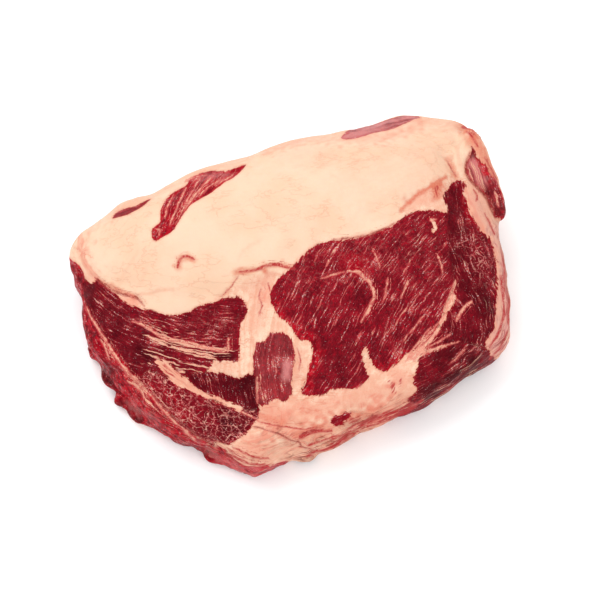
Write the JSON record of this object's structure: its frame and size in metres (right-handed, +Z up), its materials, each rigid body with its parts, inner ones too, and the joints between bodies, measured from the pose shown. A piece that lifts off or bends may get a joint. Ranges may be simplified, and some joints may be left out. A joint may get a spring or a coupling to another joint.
{
  "type": "raw beef bolar blade roast",
  "caption": "Whole raw beef blade roast with a thick rolled fat cap, a marbled cut face, fat seams and a loose side flap, resting on a flat underside.",
  "frame": {"origin": "middle of the bounding box on the flat underside", "axes": "+Z up out of the cut face, +X along the longest side, towards the loose flap"},
  "size_m": [0.2668, 0.2224, 0.0863],
  "materials": {
    "raw_meat": "moist raw beef: dark red lean with pale marbling under a cream fat cap"
  },
  "bodies": {
    "root": {"roast": "raw_meat"}
  },
  "joints": []
}
